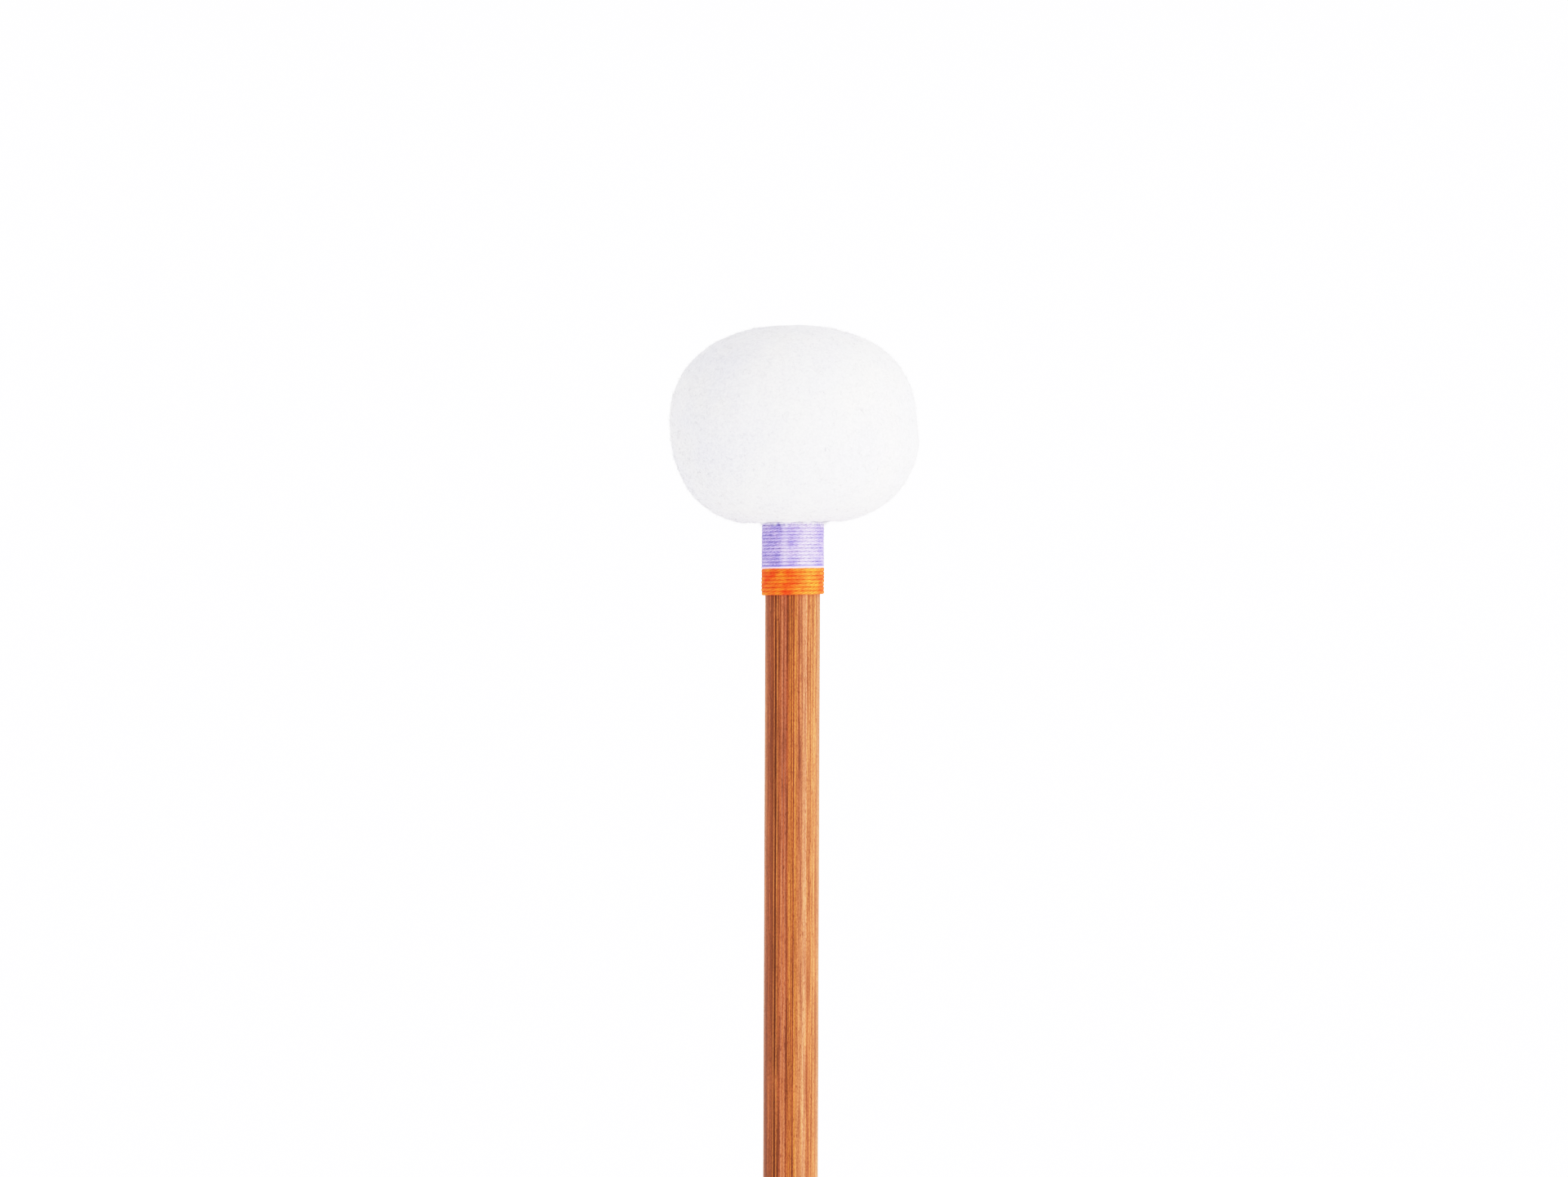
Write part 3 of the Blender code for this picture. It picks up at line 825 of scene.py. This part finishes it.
def thread_shader(name, dark, light, pale_tone, shade, highlight_side=PAINTED_HIGHLIGHT_SIDE):
    """Twisted thread: filaments along it, a tone that drifts from place to place and is paled by a painted
    highlight on its front right side, facing the key light, and a painted shade that gathers between its
    strands and its turns."""
    shader = Shader(name, roughness=0.6, sheen_weight=0.1)
    drift = shader.noise(2.2 * MM, stretch=(1, 1, 1.5), detail=3)
    tone = shader.ramp(drift, [(0.32, dark), (0.66, light)])
    # Painted highlight: the tone pales towards pale_tone on the front right, where the key light falls.
    tone = shader.mix(shader.math("MULTIPLY", shader.side(*highlight_side), 0.6), tone, pale_tone)
    flecks = shader.noise(0.28 * MM, stretch=(0.7, 0.7, 1), detail=2)
    fleck_stops = [(0.36, (0.80, 0.77, 0.80, 1)), (0.5, (1, 1, 1, 1)), (0.64, (1.10, 1.12, 1.10, 1))]
    tone = shader.mix(0.8, tone, shader.ramp(flecks, fleck_stops), "MULTIPLY")
    hollow = shader.add("ShaderNodeAttribute", attribute_name="hollow").outputs["Fac"]
    # Painted shade: darker where the thread lies between strands and between turns, read from the hollow
    # attribute.
    shader.colour(shader.mix(shader.range(hollow, 0.2, 1, 0, 0.8), tone, shade, "MULTIPLY"))
    shader.bump(shader.noise(0.07 * MM, stretch=(0.12, 0.12, 1)), 0.03 * MM)
    return shader


def lavender_material():
    """The lavender thread, whitened by lint under the head, lighter in a stripe left of its front,
    with a pale lowest turn."""
    # The pale tone of the painted highlight on the front right, and the painted shade between strands and
    # turns
    pale_tone, shade = linear(226, 220, 238), linear(206, 200, 222)
    dark, light = linear(178, 169, 219), linear(205, 195, 229)
    shader = thread_shader("lavender_thread", dark, light, pale_tone, shade, LAVENDER_PAINTED_HIGHLIGHT_SIDE)
    tinted = shader.surface.inputs["Base Color"].links[0].from_socket
    # Lighter in a stripe left of the front, mixed towards the pale tone.
    lighter_stripe = shader.math("MULTIPLY", shader.side(*LAVENDER_LIGHTER_STRIPE), 0.4)
    tinted = shader.mix(lighter_stripe, tinted, pale_tone)
    height = shader.axes(shader.place)["Z"]
    turn = shader.turn()
    climb = shader.math("MULTIPLY", turn, LAVENDER_PITCH)
    above_change = shader.math("SUBTRACT", shader.math("SUBTRACT", height, climb), COLOUR_CHANGE)
    not_behind = shader.range(shader.math("ABSOLUTE", turn), 0.36, 0.48, 1, 0)
    lowest_turn = shader.range(above_change, 0.55 * MM, 0.75 * MM, 0.6, 0)
    lowest_turn = shader.math("MULTIPLY", lowest_turn, not_behind)
    tinted = shader.mix(lowest_turn, tinted, linear(170, 162, 224))
    pale = shader.range(above_change, 0.24 * MM, 0.36 * MM, 0.9, 0)
    tinted = shader.mix(shader.math("MULTIPLY", pale, not_behind), tinted, linear(246, 218, 232))
    lint = shader.noise(0.5 * MM, stretch=(1, 1, 0.5))
    unevenness = shader.math("MULTIPLY", shader.math("SUBTRACT", lint, 0.5), 2.4 * MM)
    lint_height = shader.math("ADD", height, unevenness)
    linted = shader.range(lint_height, LAVENDER_TOP - 1.6 * MM, LAVENDER_TOP - 0.3 * MM, 0, 0.8)
    shader.colour(shader.mix(linted, tinted, linear(244, 243, 247)))
    return shader.material


def make_bindings():
    """The two windings, which meet at the back. Turns are counted along the thread's middle, so
    each winding stops half a turn short of the height that it reaches."""
    # Dark and light tones, the pale tone of the painted highlight on the front right, and the painted shade
    # between strands and turns
    tones = linear(240, 108, 30), linear(248, 160, 62), linear(248, 180, 100), linear(232, 184, 144)
    orange = thread_shader("orange_thread", *tones).material
    orange_turns = (COLOUR_CHANGE - ORANGE_BOTTOM) / ORANGE_PITCH - 0.5
    lavender_turns = (LAVENDER_TOP - COLOUR_CHANGE) / LAVENDER_PITCH - 0.5
    windings = (
        ("orange_winding", ORANGE_PITCH, -orange_turns, THREAD_TAPER / 2, orange),
        ("lavender_winding", LAVENDER_PITCH, -THREAD_TAPER / 2, lavender_turns, lavender_material()),
    )
    return [
        wind_thread(name, SHAFT_RADIUS, WOUND_RADIUS, COLOUR_CHANGE, pitch, first, last, material)
        for name, pitch, first, last, material in windings
    ]


def make_tie():
    """The thin white thread that draws the cover in, wound on its lip inside the crease."""
    # Dark and light tones, the pale tone of the painted highlight on the front right, and the painted shade
    # between strands and turns
    tones = linear(222, 219, 212), linear(236, 234, 229), linear(236, 234, 229), linear(214, 212, 208)
    white = thread_shader("tie_thread", *tones).material
    drum = SHAFT_RADIUS + CLEARANCE + LIP_THICKNESS
    start = LIP_BOTTOM + 0.6 * MM + TIE_THREAD / 2
    return wind_thread("tie", drum, drum + TIE_THREAD, start, TIE_THREAD, 0, TIE_TURNS, white)


# Inside the head


def core_material():
    """Turned hardwood: rings of growth and fine pores."""
    shader = Shader("core_wood", roughness=0.6)
    growth = shader.noise(3 * MM, stretch=(1, 0.25, 0.08), detail=3)
    shader.colour(shader.ramp(growth, [(0.35, linear(205, 165, 112)), (0.65, linear(233, 206, 160))]))
    shader.bump(shader.noise(0.3 * MM, stretch=(1, 1, 0.1)), 0.03 * MM)
    return shader.material


def packing_material(name, dark, light):
    """Dense pressed felt with flecks of darker wool."""
    shader = Shader(name, roughness=0.95, sheen_weight=0.3)
    wool = shader.noise(1.2 * MM, detail=4)
    shader.colour(shader.ramp(wool, [(0.35, dark), (0.6, light)]))
    shader.bump(shader.noise(0.4 * MM, detail=3), 0.12 * MM)
    return shader.material


def dress_inner_pieces():
    grey = packing_material("grey_packing_felt", linear(190, 184, 172), linear(222, 217, 206))
    white = packing_material("white_packing_felt", linear(216, 212, 202), linear(238, 235, 228))
    finishes = {
        "core": core_material(),
        "inner_felt_band": grey,
        "bottom_felt_washer": grey,
        "outer_felt_band": white,
        "top_felt_disc": white,
    }
    for node, material in finishes.items():
        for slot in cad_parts[node].material_slots:
            slot.material = material


# Surroundings

# Light in the scene and how bright the picture shows it, both linear
TONE_CURVE = ((0.1, 0.06), (0.25, 0.29), (0.4, 0.6), (0.6, 0.86), (0.8, 0.95))
DOME_LIGHT = 0.42
DOME_SLOPE = (0.16, 0.12, 0.42)
CAMERA_PLACE = (-1.657 * MM, -829.6 * MM, 329.83 * MM)
CAMERA_ROLL = math.radians(-0.217)
KEY_LIGHT_PLACE = (0.78, -0.74, 0.30)
FLOOR_RADIUS = 1.4
FLOOR_FADE = (0.5, 1.35)  # from its middle: where it starts to fade and where it is gone
WALL_TOP = (0.1, 0.4)  # sine of the elevation over which the walls give way to the dome


def make_camera():
    """A level long lens in front, rolled a little as the photograph is."""
    data = bpy.data.cameras.new("camera")
    data.lens = 100
    data.sensor_width = 36
    data.clip_start = 0.05
    data.clip_end = 20
    camera = bpy.data.objects.new("camera", data)
    camera.location = CAMERA_PLACE
    camera.rotation_euler = (math.radians(90), CAMERA_ROLL, 0)
    bpy.context.scene.collection.objects.link(camera)
    bpy.context.scene.camera = camera


def make_world():
    """White walls all round, under a dome that is dimmer above the front and the left."""
    world = bpy.data.worlds.new("surround")
    bpy.context.scene.world = world
    world.use_nodes = True
    nodes = Nodes(world.node_tree)
    direction = nodes.add("ShaderNodeTexCoord").outputs["Generated"]
    slope = nodes.add("ShaderNodeVectorMath", operation="DOT_PRODUCT")
    nodes.fill(slope.inputs[0], direction)
    slope.inputs[1].default_value = DOME_SLOPE
    dome = nodes.math("ADD", slope.outputs["Value"], DOME_LIGHT)
    above_walls = nodes.range(nodes.axes(direction)["Z"], *WALL_TOP)
    dimming = nodes.math("MULTIPLY", above_walls, nodes.math("SUBTRACT", 1.0, dome))
    background = world.node_tree.nodes["Background"]
    background.inputs["Color"].default_value = (0.98, 0.975, 1.0, 1)
    nodes.fill(background.inputs["Strength"], nodes.math("SUBTRACT", 1.0, dimming))


def make_key_light():
    """A soft, slightly warm light, in front on the right."""
    data = bpy.data.lights.new("key", "AREA")
    data.shape = "DISK"
    data.size = 0.5
    data.energy = 2.4
    data.color = (1.0, 0.96, 0.92)
    lamp = bpy.data.objects.new("key", data)
    lamp.location = KEY_LIGHT_PLACE
    towards_head = Vector((0, 0, HEAD_HEIGHT)) - lamp.location
    lamp.rotation_euler = towards_head.to_track_quat("-Z", "Y").to_euler()
    bpy.context.scene.collection.objects.link(lamp)


def make_floor():
    """A plain pale floor that fades out before its rim."""
    bpy.ops.mesh.primitive_circle_add(vertices=96, radius=FLOOR_RADIUS, fill_type="NGON")
    floor = bpy.context.active_object
    floor.name = "floor"
    shader = Shader("floor", roughness=0.9)
    shader.colour(linear(250, 250, 252))
    distance = shader.add("ShaderNodeVectorMath", operation="LENGTH")
    shader.fill(distance.inputs[0], shader.place)
    fade = shader.range(distance.outputs["Value"], *FLOOR_FADE, 1, 0)
    shader.fill(shader.surface.inputs["Alpha"], fade)
    floor.data.materials.append(shader.material)


def set_tones():
    """A photograph's contrast: deep in the dark tones, with a soft shoulder in the whites."""
    view = bpy.context.scene.view_settings
    view.view_transform = "Standard"
    view.use_curve_mapping = True
    curve = view.curve_mapping.curves[3]
    for light, shown in TONE_CURVE:
        curve.points.new(light, shown)
    view.curve_mapping.update()


def place(piece, slot, *nodes):
    """Rides a piece on the mallet and hides the nodes that it stands for. Its finish slot is not used."""
    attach(piece, "root")
    if nodes:
        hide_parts(*nodes)


make_camera()
make_world()
make_key_light()
make_floor()
set_tones()

place(make_shaft(), "bamboo", "shaft")

outside, normals = cover_outside()
cover = make_cover(outside, normals)
place(cover, "cover_felt", "cover")
nap = nap_material()
place(make_nap(outside, normals, nap), "cover_felt")
place(make_neck_nap(nap), "cover_felt")

orange_winding, lavender_winding = make_bindings()
place(orange_winding, "orange_thread", "orange_binding")
place(lavender_winding, "lavender_thread", "lavender_binding")
orange_thread, lavender_thread = orange_winding.active_material, lavender_winding.active_material
orange_ends = loose_ends("orange_ends", ORANGE_BOTTOM, COLOUR_CHANGE, ORANGE_ENDS, orange_thread)
place(orange_ends, "orange_thread")
lavender_ends = loose_ends("lavender_ends", COLOUR_CHANGE, LAVENDER_TOP, LAVENDER_ENDS, lavender_thread)
place(lavender_ends, "lavender_thread")
place(make_tie(), "tie_thread", "neck_tie")
dress_inner_pieces()
